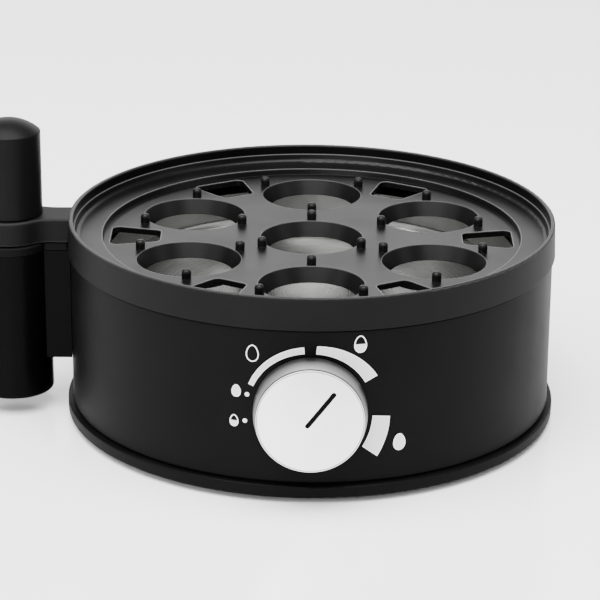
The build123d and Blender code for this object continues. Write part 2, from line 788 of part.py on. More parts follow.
# Thermostat, pressed on the spreader by its bracket
with BuildPart() as thermostat:
    with BuildSketch(Plane.XY.offset(spreader_bottom - thermostat_height)):
        with Locations((0, thermostat_offset)):
            Circle(thermostat_radius)
    extrude(amount=thermostat_height)
    with BuildSketch(Plane.XY.offset(spreader_bottom - thermostat_height - tab_length)):
        with Locations((0, thermostat_offset)):
            with GridLocations(thermostat_radius, 0, 2, 1):
                Rectangle(tab_thickness, tab_width)
    extrude(amount=tab_length)
thermostat.part.label = "thermostat"
export_step(thermostat.part, "parts/thermostat.step")

with BuildPart() as thermostat_bracket:
    bracket_bottom = spreader_bottom - thermostat_height / 2
    with BuildSketch(Plane.XY.offset(bracket_bottom)):
        with Locations((0, thermostat_offset)):
            Rectangle(bracket_length, bracket_width)
            Circle(thermostat_radius + seat_gap, mode=Mode.SUBTRACT)
    extrude(amount=bracket_thickness)
    with BuildSketch(Plane.XY.offset(bracket_bottom)):
        with Locations((0, thermostat_offset)):
            with GridLocations(bracket_length - bracket_thickness, 0, 2, 1):
                Rectangle(bracket_thickness, bracket_width)
    extrude(amount=thermostat_height / 2)
thermostat_bracket.part.label = "thermostat_bracket"
export_step(thermostat_bracket.part, "parts/thermostat_bracket.step")

# Thermal fuse and the clamp that holds it to the spreader
fuse_z = spreader_bottom - fuse_radius
with BuildPart() as thermal_fuse:
    with BuildSketch(Plane.YZ.offset(-fuse_length / 2)):
        with Locations((-fuse_offset, fuse_z)):
            Circle(fuse_radius)
    extrude(amount=fuse_length)
thermal_fuse.part.label = "thermal_fuse"
export_step(thermal_fuse.part, "parts/thermal_fuse.step")

clamp_inner = fuse_radius + seat_gap
clamp_outer = clamp_inner + clamp_wall
with BuildPart() as fuse_clamp:
    with BuildSketch(Plane.YZ.offset(-clamp_length / 2)):
        with Locations((-fuse_offset, fuse_z)):
            Circle(clamp_outer)
        with Locations((-fuse_offset, spreader_bottom - clamp_wall / 2)):
            Rectangle(2 * (clamp_outer + clamp_ear), clamp_wall)
        with Locations((-fuse_offset, fuse_z + clamp_inner / 2)):
            Rectangle(2 * clamp_outer, clamp_inner)
        with Locations((-fuse_offset, fuse_z)):
            Circle(clamp_inner, mode=Mode.SUBTRACT)
        with Locations((-fuse_offset, fuse_z + clamp_inner)):
            Rectangle(2 * clamp_inner, 2 * clamp_inner, mode=Mode.SUBTRACT)
        with Locations((-fuse_offset, spreader_bottom + clamp_outer)):
            Rectangle(2 * (clamp_outer + clamp_ear), 2 * clamp_outer, mode=Mode.SUBTRACT)
    extrude(amount=clamp_length)
fuse_clamp.part.label = "fuse_clamp"
export_step(fuse_clamp.part, "parts/fuse_clamp.step")

# Control board on the posts behind the knob
with BuildPart() as control_board:
    with BuildSketch(front.offset(board_back)):
        with Locations((0, board_mid)):
            Rectangle(board_width, board_height)
        with Locations(*board_places):
            Circle(board_screw_radius + seat_gap, mode=Mode.SUBTRACT)
    extrude(amount=board_thickness)
control_board.part.label = "control_board"
export_step(control_board.part, "parts/control_board.step")

with BuildPart() as board_screws:
    with BuildSketch(front.offset(board_back - board_screw_head_height)):
        with Locations(*board_places):
            Circle(board_screw_head_radius)
    extrude(amount=board_screw_head_height)
    with BuildSketch(front.offset(board_back)):
        with Locations(*board_places):
            Circle(board_screw_radius)
    extrude(amount=board_thickness + board_screw_depth)
board_screws.part.label = "board_screws"
export_step(board_screws.part, "parts/board_screws.step")

# Rotary control: square body on the board and the bush that carries the shaft
with BuildPart() as rotary_control:
    with BuildSketch(front.offset(board_front)):
        with Locations((0, knob_z)):
            Rectangle(control_size, control_size)
    extrude(amount=control_depth)
    with BuildSketch(front.offset(control_front)):
        with Locations((0, knob_z)):
            Circle(control_bush_radius)
    extrude(amount=control_bush_length)
    with BuildSketch(front.offset(shaft_back - lift_gap)):
        with Locations((0, knob_z)):
            Circle(shaft_radius + shaft_gap)
    extrude(amount=bush_front - shaft_back + lift_gap, mode=Mode.SUBTRACT)
rotary_control.part.label = "rotary_control"
export_step(rotary_control.part, "parts/rotary_control.step")

# Relay and buzzer on the back of the board
with BuildPart() as relay:
    with BuildSketch(front.offset(board_back)):
        with Locations((relay_x, component_z)):
            Rectangle(relay_length, relay_height)
    extrude(amount=-relay_depth)
    chamfer(relay.faces().sort_by(Axis.Y)[-1].edges(), edge_round)
relay.part.label = "relay"
export_step(relay.part, "parts/relay.step")

with BuildPart() as buzzer:
    with BuildSketch(front.offset(board_back)):
        with Locations((buzzer_x, component_z)):
            Circle(buzzer_radius)
    extrude(amount=-buzzer_height)
    with BuildSketch(front.offset(board_back - buzzer_height)):
        with Locations((buzzer_x, component_z)):
            Circle(buzzer_hole_radius)
    extrude(amount=buzzer_height / 2, mode=Mode.SUBTRACT)
buzzer.part.label = "buzzer"
export_step(buzzer.part, "parts/buzzer.step")

# Terminal block on the cover, with a clamping screw for each pole
block_places = [((pole - (block_poles - 1) / 2) * block_pitch, block_y) for pole in range(block_poles)]
block_top = plate_top + block_height
with BuildPart() as terminal_block:
    with BuildSketch(Plane.XY.offset(plate_top)):
        with Locations((0, block_y)):
            Rectangle(block_length, block_depth)
    extrude(amount=block_height)
    with BuildSketch(Plane.XY.offset(block_top)):
        with Locations(*block_places):
            Circle(block_screw_radius + seat_gap)
    extrude(amount=-block_screw_height, mode=Mode.SUBTRACT)
    with BuildSketch(front.offset(-block_y)):
        with Locations(*[(place[0], plate_top + block_screw_height) for place in block_places]):
            Circle(block_hole_radius)
    extrude(amount=block_depth, both=True, mode=Mode.SUBTRACT)
terminal_block.part.label = "terminal_block"
export_step(terminal_block.part, "parts/terminal_block.step")

with BuildPart() as terminal_screws:
    with BuildSketch(Plane.XY.offset(block_top - block_screw_height)):
        with Locations(*block_places):
            Circle(block_screw_radius)
    extrude(amount=block_screw_height / 2)
terminal_screws.part.label = "terminal_screws"
export_step(terminal_screws.part, "parts/terminal_screws.step")

# Cord gland: a bush through the back wall that grips the cord inside and opens to a bell mouth outside
gland_side = Plane((0, 0, gland_z), x_dir=(0, 1, 0), z_dir=(1, 0, 0))
with BuildPart() as cord_gland:
    with BuildSketch(gland_side):
        with BuildLine():
            Polyline(
                (body_inner - gland_sleeve, gland_bore_radius),
                (body_inner - gland_grip_gap, gland_bore_radius),
                (body_radius + gland_flange_thickness, gland_mouth_radius),
                (body_radius + gland_flange_thickness, gland_flange_radius),
                (body_radius + seat_gap, gland_flange_radius),
                (body_radius + seat_gap, gland_neck_radius),
                (body_inner - gland_sleeve, gland_neck_radius),
                close=True,
            )
        make_face()
    revolve(axis=Axis((0, 0, gland_z), (0, 1, 0)))
    rim_edges = cord_gland.faces().sort_by(Axis.Y)[-1].edges()
    fillet(rim_edges, gland_round)
cord_gland.part.label = "cord_gland"
export_step(cord_gland.part, "parts/cord_gland.step")

# Knob skirt: turned side wall, crowned towards the front, web behind the face and the hub on the shaft
with BuildPart() as knob_skirt:
    with BuildSketch(knob_side):
        with BuildLine():
            TangentArc((knob_back, knob_back_radius), (knob_front, knob_front_radius), tangent=(1, 0))
            Polyline(
                (knob_front, knob_front_radius),
                (knob_front, face_radius + face_gap),
                (face_back, face_radius + face_gap),
                (face_back, 0),
                (hub_back, 0),
                (hub_back, hub_radius),
                (face_back - knob_shell, hub_radius),
                (face_back - knob_shell, knob_front_radius - knob_shell),
                (knob_back, knob_back_radius - knob_shell),
                (knob_back, knob_back_radius),
            )
        make_face()
    revolve(axis=knob_axis)
    front_rim = knob_skirt.faces().sort_by(Axis.Y)[0]
    fillet(front_rim.outer_wire().edges(), knob_edge_round)
    with BuildSketch(front.offset(hub_back)):
        with Locations((0, knob_z)):
            Circle(shaft_radius + seat_gap)
    extrude(amount=face_back - knob_shell / 2 - hub_back, mode=Mode.SUBTRACT)
knob_skirt.part.label = "knob_skirt"
export_step(knob_skirt.part, "parts/knob_skirt.step")


def crowned_disc(crown):
    """Half section of the knob's face, crowned by the given height above the skirt's rim."""
    sphere = (face_radius**2 + crown**2) / (2 * crown)
    half_angle = degrees(asin(face_radius / sphere))
    top = knob_front + crown
    with BuildLine() as outline:
        Polyline((top, 0), (face_back, 0), (face_back, face_radius), (knob_front, face_radius))
        CenterArc((top - sphere, 0), sphere, 0, half_angle)
    make_face(outline.edges())


def pointer_outline(gap):
    """Outline of the pointer on the face at its resting angle, made smaller all round by a gap."""
    middle = (pointer_reach - pointer_tail) / 2
    with Locations((0, knob_z)):
        with Locations(Rotation(0, 0, pointer_angle)):
            with Locations((middle, 0)):
                SlotOverall(pointer_reach + pointer_tail - 2 * gap, pointer_width - 2 * gap)


# Knob face: a slightly domed disc with the pointer's slot
slot_floor = knob_front + face_crown - pointer_depth
with BuildPart() as knob_face:
    with BuildSketch(knob_side):
        crowned_disc(face_crown)
    revolve(axis=knob_axis)
    with BuildSketch(front.offset(slot_floor)):
        pointer_outline(0)
    extrude(amount=pointer_depth + overrun, mode=Mode.SUBTRACT)
knob_face.part.label = "knob_face"
export_step(knob_face.part, "parts/knob_face.step")

# Knob pointer: a dark inlay that follows the dome just below its surface
with BuildPart() as knob_pointer:
    with BuildSketch(knob_side):
        crowned_disc(face_crown - pointer_sink)
    revolve(axis=knob_axis)
    with BuildSketch(front.offset(slot_floor)):
        pointer_outline(inlay_gap)
    extrude(amount=pointer_depth + overrun, mode=Mode.INTERSECT)
knob_pointer.part.label = "knob_pointer"
export_step(knob_pointer.part, "parts/knob_pointer.step")

# Knob shaft: a round shaft from the control into the hub, with a flat at the hub's end
with BuildPart() as knob_shaft:
    with BuildSketch(front.offset(shaft_back)):
        with Locations((0, knob_z)):
            Circle(shaft_radius)
    extrude(amount=face_back - knob_shell - shaft_back)
    with BuildSketch(front.offset(hub_back)):
        with Locations((0, knob_z + 2 * shaft_radius - shaft_flat)):
            Rectangle(2 * shaft_radius, 2 * shaft_radius)
    extrude(amount=knob_depth, mode=Mode.SUBTRACT)
knob_shaft.part.label = "knob_shaft"
export_step(knob_shaft.part, "parts/knob_shaft.step")
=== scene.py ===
# %% [markdown]
# # An electric egg cooker in a white studio
# The solids of this cooker come from a CAD model, which is loaded here as a fixed frame: nothing in this
# lesson moves or resizes them. What a CAD model lacks is the look. So we set a camera and soft light, give
# every piece the finish that its real material has, and print the dial on the wall.

# %% Load the frame
import json
from math import atan2, cos, hypot, pi, radians, sin

import bmesh
import bpy
from mathutils import Matrix, Vector


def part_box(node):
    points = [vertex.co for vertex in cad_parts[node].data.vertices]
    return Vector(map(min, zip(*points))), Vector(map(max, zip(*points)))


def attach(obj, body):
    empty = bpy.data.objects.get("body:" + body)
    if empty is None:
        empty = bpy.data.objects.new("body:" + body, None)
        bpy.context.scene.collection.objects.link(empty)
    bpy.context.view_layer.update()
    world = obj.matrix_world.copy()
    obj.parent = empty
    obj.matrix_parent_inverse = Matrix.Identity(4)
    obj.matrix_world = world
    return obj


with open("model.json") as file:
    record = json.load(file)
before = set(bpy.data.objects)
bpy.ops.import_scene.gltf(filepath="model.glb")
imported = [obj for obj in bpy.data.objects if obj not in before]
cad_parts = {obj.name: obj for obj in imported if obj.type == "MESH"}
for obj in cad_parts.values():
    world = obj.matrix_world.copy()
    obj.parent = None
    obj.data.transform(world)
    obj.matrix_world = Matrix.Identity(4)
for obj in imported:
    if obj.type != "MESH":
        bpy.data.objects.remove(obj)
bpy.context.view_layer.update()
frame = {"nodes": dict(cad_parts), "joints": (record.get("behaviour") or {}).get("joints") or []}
nodes = frame["nodes"]
scene = bpy.context.scene
mm = 0.001  # the frame is in metres

# %% [markdown]
# ## The camera
# A product photographer stands well back with a long lens, so that the round body isn't stretched. The lens
# is worked out from the picture: a focal length in pixels, divided by the width of the frame in pixels, is
# the same share of the sensor. The camera looks down by about twenty degrees and leans by half a degree, as a
# camera on a tripod does. Three turns do that: round the upright, up from straight down, round the view.

# %% Camera
photo_width = 600
focal_pixels = 2713.4
camera_place = Vector((-0.00209, -0.90172, 0.37235))
camera_pitch = radians(20.237)
camera_yaw = radians(0.113)
camera_lean = radians(0.536)

lens = bpy.data.cameras.new("photo_camera")
lens.lens = lens.sensor_width * focal_pixels / photo_width
camera = bpy.data.objects.new("photo_camera", lens)
tilt = Matrix.Rotation(pi / 2 - camera_pitch, 4, "X") @ Matrix.Rotation(camera_lean, 4, "Z")
camera.matrix_world = Matrix.Translation(camera_place) @ Matrix.Rotation(camera_yaw, 4, "Z") @ tilt
scene.collection.objects.link(camera)
scene.camera = camera
print("lens", round(lens.lens, 1), "mm")

# %% [markdown]
# ## Wiring shader nodes
# A material is a small graph. Every node is added the same way: name its kind, then set its inputs, where
# another node's output means a link and a plain number a setting. A helper for that, and a few for starting
# a finish and feeding its shader, keep each finish below short enough to read as a recipe.


# %% Helpers that build a finish
def add_node(material, kind, inputs, **settings):
    """Adds a shader node, sets or links the inputs that are given, and hands the node back."""
    node = material.node_tree.nodes.new("ShaderNode" + kind)
    for name, value in settings.items():
        setattr(node, name, value)
    for socket, value in inputs.items():
        if isinstance(value, bpy.types.NodeSocket):
            material.node_tree.links.new(value, node.inputs[socket])
        else:
            node.inputs[socket].default_value = value
    return node


def shader_of(material):
    """The shader that every new material starts with."""
    return material.node_tree.nodes["Principled BSDF"]


def new_finish(name, **sockets):
    """A new material; a keyword such as coat_weight sets its shader's Coat Weight."""
    material = bpy.data.materials.new(name)
    material.use_nodes = True
    for word, value in sockets.items():
        socket = word.replace("_", " ").title().replace("Ior", "IOR")
        shader_of(material).inputs[socket].default_value = value
    return material


def link(material, output, socket):
    """Feeds one of the shader's sockets from a node's output."""
    material.node_tree.links.new(output, shader_of(material).inputs[socket])


def fed_by(material, socket):
    """The output that feeds one of the shader's sockets now."""
    return shader_of(material).inputs[socket].links[0].from_socket


print("node helpers ready")

# %% [markdown]
# ## Patterns in real sizes
# Grain, clouds and brush marks have a size on the real thing, so every pattern reads Object coordinates,
# which are metres here. A texture's scale is then one over the size of its features. The Generated
# coordinates would stretch with each piece, and the same plastic would look different on each.

# %% Helpers for patterns
noise_low, noise_high = 0.3, 0.7  # most values of a noise texture lie between these
bevel_samples = 6


def grey(level):
    """A colour without a hue."""
    return (level,) * 3


def place_of(material, centre=(0, 0, 0), stretch=(1, 1, 1)):
    """The piece's own coordinates, counted from a centre and stretched along each axis."""
    coordinates = add_node(material, "TexCoord", {}).outputs["Object"]
    moved = add_node(material, "VectorMath", {0: coordinates, 1: centre}, operation="SUBTRACT").outputs[0]
    return add_node(material, "VectorMath", {0: moved, 1: stretch}, operation="MULTIPLY").outputs[0]


def speckle(material, place, size, detail=2.0):
    """Soft random noise with features of the given size in metres."""
    inputs = {"Vector": place, "Scale": 1 / size, "Detail": detail}
    return add_node(material, "TexNoise", inputs).outputs[0]


def between(material, amount, low, high):
    """A number from low to high, following an amount that mostly stays near the middle of 0 to 1."""
    inputs = {"Value": amount, "From Min": noise_low, "From Max": noise_high, "To Min": low, "To Max": high}
    return add_node(material, "MapRange", inputs).outputs[0]


def shades(material, amount, dark, light):
    """A colour that runs from dark to light as the amount rises."""
    ramp = add_node(material, "ValToRGB", {"Fac": amount})
    for stop, position, colour in zip(ramp.color_ramp.elements, (noise_low, noise_high), (dark, light)):
        stop.position = position
        stop.color = (*colour, 1)
    return ramp.outputs["Color"]


def dents(material, height, depth, edge_round=0.0):
    """A bumped normal of the given depth in metres, on edges that may be softened by a small radius."""
    inputs = {"Height": height, "Distance": depth}
    if edge_round:
        softened = add_node(material, "Bevel", {"Radius": edge_round}, samples=bevel_samples)
        inputs["Normal"] = softened.outputs[0]
    return add_node(material, "Bump", inputs).outputs[0]


print("pattern helpers ready")

# %% [markdown]
# ## The studio
# The studio is high-key: a white sweep, light from everywhere, and a floor smooth enough to hold a faint
# reflection. A wide disc is the floor. Its colour is almost white, and a little gloss gives the reflection.

# %% Floor
floor_radius = 4.0
floor_sides = 96
floor_cloud_size = 0.4
floor_dark, floor_light = grey(0.86), grey(0.88)
floor_rough = (0.16, 0.18)

floor_mesh = bpy.data.meshes.new("studio_floor")
floor_shape = bmesh.new()
bmesh.ops.create_circle(floor_shape, cap_ends=True, segments=floor_sides, radius=floor_radius)
floor_shape.to_mesh(floor_mesh)
floor_shape.free()
floor = bpy.data.objects.new("studio_floor", floor_mesh)
scene.collection.objects.link(floor)

floor_paint = new_finish("studio_white", specular_ior_level=0.4)
floor_cloud = speckle(floor_paint, place_of(floor_paint), floor_cloud_size)
link(floor_paint, shades(floor_paint, floor_cloud, floor_dark, floor_light), "Base Color")
link(floor_paint, between(floor_paint, floor_cloud, *floor_rough), "Roughness")
floor_mesh.materials.append(floor_paint)
print("floor", 2 * floor_radius, "m across")

# %% [markdown]
# ## Soft light
# Black plastic shows its shape only by what it reflects, so the lamps are large panels whose edges make slow
# gradients. A panel overhead lights the floor and the lip, one on each side draws the round wall, one behind
# the camera lifts the knob, and one at the back is what the tray mirrors at a low angle. A white world fills
# the rest, as the paper round a light tent does.

# %% World and lamps
world_strength = 0.7
body_middle = Vector((0, 0, 0.05))
panels = {  # place, width and height in metres, and power in watts
    "overhead_panel": ((-0.1, -0.4, 1.5), 1.6, 1.6, 120),
    "left_panel": ((-1.4, -0.5, 0.7), 0.7, 1.2, 8),
    "right_panel": ((1.4, -0.4, 0.7), 0.7, 1.2, 6),
    "front_panel": ((-0.6, -1.7, 0.7), 1.0, 0.8, 18),
    "back_panel": ((0, 1.8, 0.7), 2.0, 1.0, 16),
}


def soft_panel(name, place, width, height, watts):
    """A rectangular area lamp at a place, turned to face the middle of the cooker."""
    lamp = bpy.data.lights.new(name, "AREA")
    lamp.shape = "RECTANGLE"
    lamp.size = width
    lamp.size_y = height
    lamp.energy = watts
    panel = bpy.data.objects.new(name, lamp)
    panel.location = place
    panel.rotation_euler = (body_middle - Vector(place)).to_track_quat("-Z", "Y").to_euler()
    scene.collection.objects.link(panel)


studio = bpy.data.worlds.new("white_studio")
studio.use_nodes = True
backdrop = studio.node_tree.nodes["Background"]
backdrop.inputs["Color"].default_value = (1, 1, 1, 1)
backdrop.inputs["Strength"].default_value = world_strength
scene.world = studio

for name, settings in panels.items():
    soft_panel(name, *settings)

# %% [markdown]
# ## Black mouldings
# The housing, the column, the carrier and the grip are one family of black plastic. A mould is spark-eroded,
# which leaves a grain a fraction of a millimetre across, and the melt freezes in faint clouds of gloss. One
# recipe makes all four blacks: the housing is satin, and the others are a little smoother. The rubber of the
# feet and the gland is moulded too, with a duller skin.

# %% Moulded plastic
cloud_size = 20 * mm
cloud_detail = 3.0
corner_round = 0.25 * mm


def moulded(name, dark, light, rough, grain, depth, specular=0.5, edge_round=0.0):
    """Injection-moulded plastic: fine grain in the normal, slow clouds in colour and gloss, soft edges."""
    material = new_finish(name, specular_ior_level=specular)
    place = place_of(material)
    clouds = speckle(material, place, cloud_size, cloud_detail)
    fine = speckle(material, place, grain)
    link(material, shades(material, clouds, dark, light), "Base Color")
    link(material, between(material, clouds, *rough), "Roughness")
    link(material, dents(material, fine, depth, edge_round), "Normal")
    return material


housing_black = moulded("housing_black", grey(0.0015), grey(0.0022), rough=(0.46, 0.52), grain=0.45 * mm,
                        depth=0.02 * mm, specular=0.045, edge_round=corner_round)
carrier_black = moulded("carrier_black", grey(0.0012), grey(0.0018), rough=(0.32, 0.38), grain=0.40 * mm,
                        depth=0.012 * mm, specular=0.10, edge_round=corner_round)
grip_black = moulded("grip_black", grey(0.0015), grey(0.0022), rough=(0.42, 0.48), grain=0.40 * mm,
                     depth=0.006 * mm, specular=0.07, edge_round=corner_round)
column_black = moulded("column_black", grey(0.0006), grey(0.0010), rough=(0.30, 0.36), grain=0.45 * mm,
                       depth=0.012 * mm, specular=0.03, edge_round=corner_round)
foot_rubber = moulded("foot_rubber", grey(0.012), grey(0.022), rough=(0.70, 0.85), grain=0.30 * mm,
                      depth=0.03 * mm, specular=0.3)
gland_rubber = moulded("gland_rubber", grey(0.010), grey(0.018), rough=(0.60, 0.72), grain=0.30 * mm,
                       depth=0.02 * mm, specular=0.3)
print("black mouldings ready")

# %% [markdown]
# The carrier's edges get a painted highlight: every rim and hole is drawn by a thin light line in its
# colour, all but the hidden one at the seam. To find the edges, an ambient occlusion node looks into the
# plastic instead of out of it. Deep under a flat face nothing is near, but by an edge the next face is, and
# there the colour is lighter.

# %% Painted highlights on edges
edge_width = 0.5 * mm
edge_highlight_grey = 0.09
edge_samples = 8
open_level, edge_level = 0.95, 0.55  # what the node gives under a flat face and by an edge
seam_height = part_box("body_shell")[1].z
edge_highlight_from = seam_height + 3 * edge_width  # clear of the edges at the seam
mix_sockets = {"FLOAT": (2, 3, 0), "RGBA": (6, 7, 2)}  # a Mix node's two inputs and its output for each kind


def is_above(material, value, limit):
    """One where a value is above a limit, and zero elsewhere."""
    return add_node(material, "Math", {0: value, 1: limit}, operation="GREATER_THAN").outputs[0]


def mixed(material, share, first, second, kind):
    """Two numbers or two colours, blended by a share from 0 to 1."""
    first_socket, second_socket, result = mix_sockets[kind]
    inputs = {0: share, first_socket: first, second_socket: second}
    return add_node(material, "Mix", inputs, data_type=kind).outputs[result]


# The share below places the painted highlight along the carrier's edges.
def edge_highlight_share(material, width):
    """A share from 0 to 1 that rises within the given width of every outward edge."""
    buried = add_node(material, "AmbientOcclusion", {"Distance": width}, inside=True, only_local=True,
                      samples=edge_samples)
    inputs = {"Value": buried.outputs["AO"], "From Min": open_level, "From Max": edge_level}
    return add_node(material, "MapRange", inputs).outputs[0]


# Painted highlight: the carrier's colour turns lighter along its edges, above the seam.
carrier_height = add_node(carrier_black, "SeparateXYZ", {0: place_of(carrier_black)}).outputs["Z"]
above_seam = is_above(carrier_black, carrier_height, edge_highlight_from)
painted_edge_highlight = add_node(carrier_black, "Math", {0: edge_highlight_share(carrier_black, edge_width), 1: above_seam},
                operation="MULTIPLY").outputs[0]
plain_black = fed_by(carrier_black, "Base Color")
link(carrier_black, mixed(carrier_black, painted_edge_highlight, plain_black, (*grey(edge_highlight_grey), 1), "RGBA"), "Base Color")
print("edges painted_highlight over", round(edge_width / mm, 2), "mm, above", round(edge_highlight_from / mm, 1), "mm")

# %% [markdown]
# The outside of the carrier has the same grain as the wall below it, so that the two read as one body, while
# the tray inside is smooth and easy to clean. The distance from the upright axis tells the two apart: what
# lies farther out than the wall is rougher.

# %% Grained outside
grained_roughness = 0.56
wall_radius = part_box("body_shell")[1].x
level_place = place_of(carrier_black, stretch=(1, 1, 0))
from_axis = add_node(carrier_black, "VectorMath", {0: level_place}, operation="LENGTH").outputs["Value"]
outside = is_above(carrier_black, from_axis, wall_radius)
smooth_roughness = fed_by(carrier_black, "Roughness")
link(carrier_black, mixed(carrier_black, outside, smooth_roughness, grained_roughness, "FLOAT"), "Roughness")
print("grained beyond", round(wall_radius / mm, 1), "mm from the axis")

# %% [markdown]
# ## Turned and spun metal
# The knob and the pan were made on a lathe, so their marks run round an axis. Noise that depends only on the
# distance from that axis, or on the place along it, gives such rings. The highlight is stretched across the
# marks by the shader's anisotropy, which needs to know the way they run: the cross product of the axis and
# the place on the piece points along them everywhere.

# %% Metal with marks round an axis
metal_cloud_size = 12 * mm
ring_detail = 3.0


def turned(name, axis, centre, dark, light, rough, pitch, depth, anisotropic, along=True):
    """Metal with fine rings round an axis, spaced along the axis or, on a face, outwards from it."""
    material = new_finish(name, metallic=1.0, anisotropic=anisotropic)
    place = place_of(material, centre)
    round_it = add_node(material, "VectorMath", {0: place, 1: axis}, operation="CROSS_PRODUCT").outputs[0]
    if along:
        way = add_node(material, "VectorMath", {0: place, 1: axis}, operation="DOT_PRODUCT").outputs["Value"]
    else:
        way = add_node(material, "VectorMath", {0: round_it}, operation="LENGTH").outputs["Value"]
    rings = add_node(material, "TexNoise", {"W": way, "Scale": 1 / pitch, "Detail": ring_detail},
                     noise_dimensions="1D").outputs[0]
    clouds = speckle(material, place, metal_cloud_size)
    link(material, shades(material, clouds, dark, light), "Base Color")
    link(material, between(material, rings, *rough), "Roughness")
    link(material, dents(material, rings, depth), "Normal")
    link(material, round_it, "Tangent")
    return material


knob_axis = (0, 1, 0)
knob_centre = next(joint["pos_m"] for joint in frame["joints"] if joint["name"] == "knob_turn")
pan_axis = (0, 0, 1)
pan_centre = (0, 0, 0)
knob_skirt_metal = turned("knob_skirt_metal", knob_axis, knob_centre, grey(0.78), grey(0.82),
                          rough=(0.52, 0.60), pitch=0.12 * mm, depth=0.002 * mm, anisotropic=0.1)
knob_face_metal = turned("knob_face_metal", knob_axis, knob_centre, grey(0.83), grey(0.86),
                         rough=(0.24, 0.28), pitch=0.15 * mm, depth=0.001 * mm, anisotropic=0.4, along=False)
pan_steel = turned("pan_steel", pan_axis, pan_centre, (0.34, 0.34, 0.33), (0.42, 0.42, 0.41),
                   rough=(0.24, 0.36), pitch=0.4 * mm, depth=0.006 * mm, anisotropic=0.5, along=False)
shaft_metal = turned("shaft_metal", knob_axis, knob_centre, grey(0.60), grey(0.66),
                     rough=(0.22, 0.34), pitch=0.2 * mm, depth=0.004 * mm, anisotropic=0.4)
print("lathe marks round the knob's axis at", [round(x, 4) for x in knob_centre])

# %% [markdown]
# The side of the knob is silver with painted shade: it darkens towards the wall, standing in for the shade
# and dark reflection of the black wall, and a fine dark line in its front edge is a painted shadow that sets
# off the face. Both are tones along the axis, and they take the place of the even silver: the place on the
# axis is mapped to a share of the way from back to front, and a ramp turns that share into a grey.

# %% Painted shade along the side of the knob
skirt_front, skirt_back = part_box("knob_skirt")
# Painted shade: dark near the wall, a painted shadow line near the front edge, light at the very front.
skirt_painted_shade = (  # share of the way from back to front, and grey
    (0.0, 0.02), (0.25, 0.04), (0.85, 0.42), (0.90, 0.42), (0.92, 0.03), (0.985, 0.03), (1.0, 0.80))
skirt_place = add_node(knob_skirt_metal, "SeparateXYZ", {0: place_of(knob_skirt_metal)}).outputs["Y"]
skirt_way = add_node(knob_skirt_metal, "MapRange", {"Value": skirt_place, "From Min": skirt_back.y,
                                                    "From Max": skirt_front.y}).outputs[0]
skirt_shade_ramp = add_node(knob_skirt_metal, "ValToRGB", {"Fac": skirt_way})
for share, _ in skirt_painted_shade[1:-1]:
    skirt_shade_ramp.color_ramp.elements.new(share)
for stop, (_, level) in zip(skirt_shade_ramp.color_ramp.elements, skirt_painted_shade):
    stop.color = (*grey(level), 1)
link(knob_skirt_metal, skirt_shade_ramp.outputs["Color"], "Base Color")
print("tones along", round((skirt_back.y - skirt_front.y) / mm, 1), "mm")

# %% [markdown]
# ## Metal that isn't turned
# Inside the housing are stamped, drawn and plated pieces. Zinc plating is a fine patchwork of bright and dull
# crystals, an aluminium plate is clouded by its casting, and the sheath of a heating element is tinted by
# its own heat. The same noise at different sizes and colours tells them apart.

# %% Plated and cast metal
patch_detail = 4.0


def patchy_metal(name, dark, light, rough, patch, depth):
    """Plated, cast or heat-tinted metal: patches of colour and gloss of one size."""
    material = new_finish(name, metallic=1.0)
    patches = speckle(material, place_of(material), patch, patch_detail)
    link(material, shades(material, patches, dark, light), "Base Color")
    link(material, between(material, patches, *rough), "Roughness")
    link(material, dents(material, patches, depth), "Normal")
    return material


zinc_plate = patchy_metal("zinc_plate", (0.48, 0.49, 0.51), (0.64, 0.64, 0.65), rough=(0.28, 0.42),
                          patch=0.8 * mm, depth=0.004 * mm)
cast_aluminium = patchy_metal("cast_aluminium", (0.62, 0.62, 0.62), (0.74, 0.74, 0.73), rough=(0.38, 0.52),
                              patch=2 * mm, depth=0.02 * mm)
element_sheath = patchy_metal("element_sheath", (0.16, 0.13, 0.12), (0.36, 0.32, 0.28), rough=(0.36, 0.55),
                              patch=5 * mm, depth=0.01 * mm)
terminal_brass = patchy_metal("terminal_brass", (0.66, 0.48, 0.20), (0.78, 0.60, 0.30), rough=(0.22, 0.34),
                              patch=1.5 * mm, depth=0.004 * mm)
fuse_metal = patchy_metal("fuse_metal", (0.66, 0.65, 0.62), (0.76, 0.75, 0.72), rough=(0.26, 0.36),
                          patch=1 * mm, depth=0.004 * mm)
control_metal = patchy_metal("control_metal", (0.52, 0.52, 0.53), (0.64, 0.64, 0.64), rough=(0.30, 0.42),
                             patch=0.8 * mm, depth=0.004 * mm)
print("inner metals ready")

# %% [markdown]
# ## Plastics inside, the seal and the board
# The electrical pieces are moulded too, in the colours that such pieces have: brown phenolic, blue relay
# cases, natural polyamide. The same recipe as the housing's serves, with other colours. The silicone ring
# under the pan lets a little light in, so it gets some subsurface scattering.

# %% Inner plastics
silicone_scatter = 0.3
silicone_depth = 1 * mm
phenolic_brown = moulded("phenolic_brown", (0.07, 0.035, 0.02), (0.11, 0.06, 0.035), rough=(0.40, 0.52),
                         grain=0.6 * mm, depth=0.02 * mm)
relay_blue = moulded("relay_blue", (0.02, 0.08, 0.30), (0.03, 0.10, 0.36), rough=(0.34, 0.42),
                     grain=0.4 * mm, depth=0.01 * mm)
buzzer_black = moulded("buzzer_black", grey(0.010), grey(0.016), rough=(0.40, 0.50),
                       grain=0.4 * mm, depth=0.015 * mm)
block_nylon = moulded("block_nylon", (0.72, 0.70, 0.62), (0.80, 0.78, 0.71), rough=(0.44, 0.56),
                      grain=0.6 * mm, depth=0.02 * mm)
pointer_black = moulded("pointer_black", grey(0.001), grey(0.002), rough=(0.60, 0.70),
                        grain=0.3 * mm, depth=0.01 * mm, specular=0.03)
